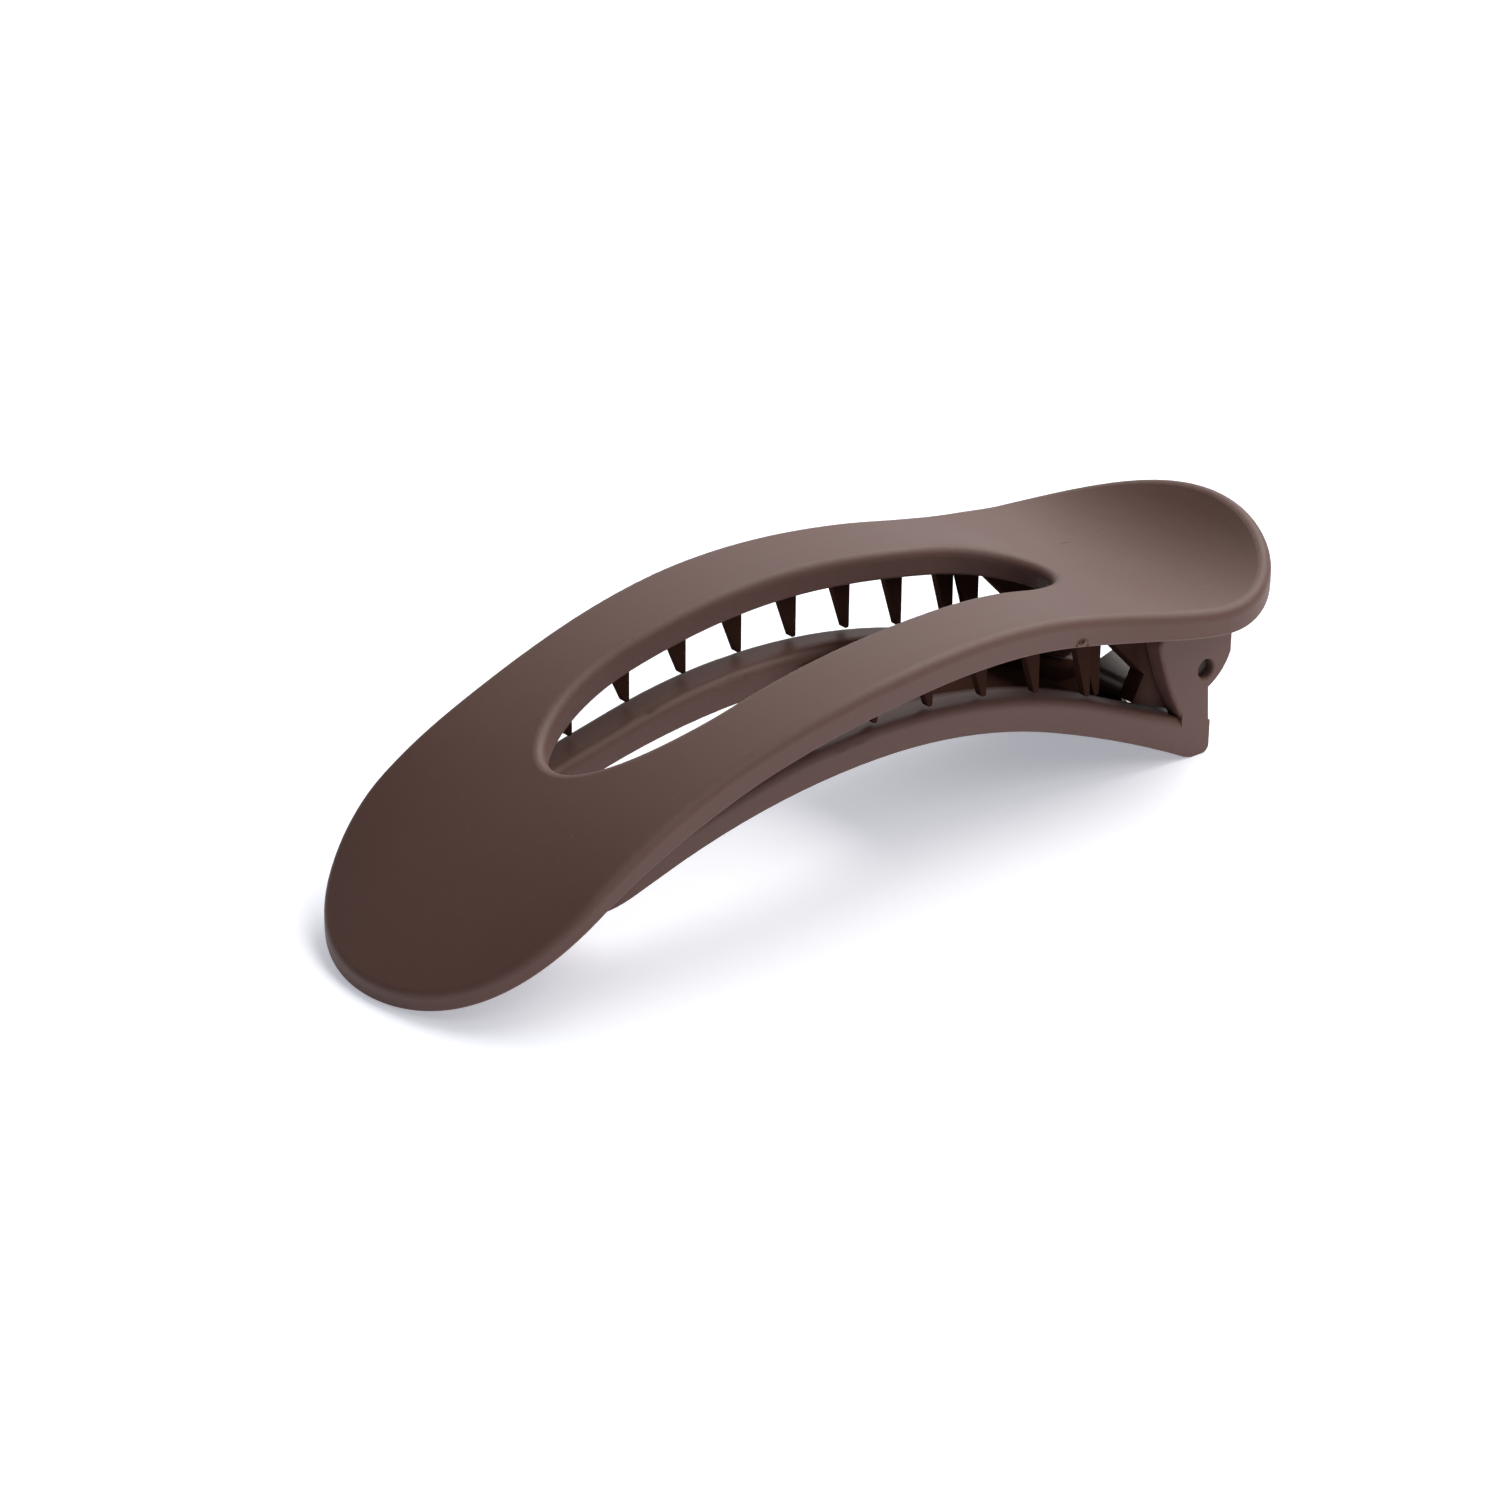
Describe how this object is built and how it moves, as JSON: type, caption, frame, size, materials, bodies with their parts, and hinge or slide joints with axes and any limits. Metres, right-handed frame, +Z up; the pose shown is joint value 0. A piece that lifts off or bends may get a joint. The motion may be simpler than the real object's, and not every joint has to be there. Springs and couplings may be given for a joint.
{
  "type": "duckbill hair clip",
  "caption": "Arched duckbill hair clip with a long open window, toothed upper jaw, forked lower jaw, dished thumb plate and a sprung pin hinge.",
  "frame": {"origin": "middle of the clip's length and width, on the surface that it lies on", "axes": "+X from the nose to the thumb plate, +Y across the clip along the hinge pin, +Z up"},
  "size_m": [0.105, 0.0336, 0.0236],
  "materials": {
    "jaw_plastic": "cocoa brown, soft matte",
    "pin_steel": "dull, dark",
    "spring_steel": "bright strip"
  },
  "bodies": {
    "lower": {"lower_jaw": "jaw_plastic", "hinge_pin": "pin_steel", "spring": "spring_steel"},
    "upper": {"upper_jaw": "jaw_plastic"}
  },
  "joints": [
    {"name": "hinge", "type": "hinge", "parent": "lower", "child": "upper", "pos_m": [0.041, 0, 0.0092], "axis": [0, 1, 0], "range_deg": [0, 30], "stiffness_Nm_per_rad": 0.06, "springref_deg": -28.65, "deforming": ["spring"]}
  ]
}
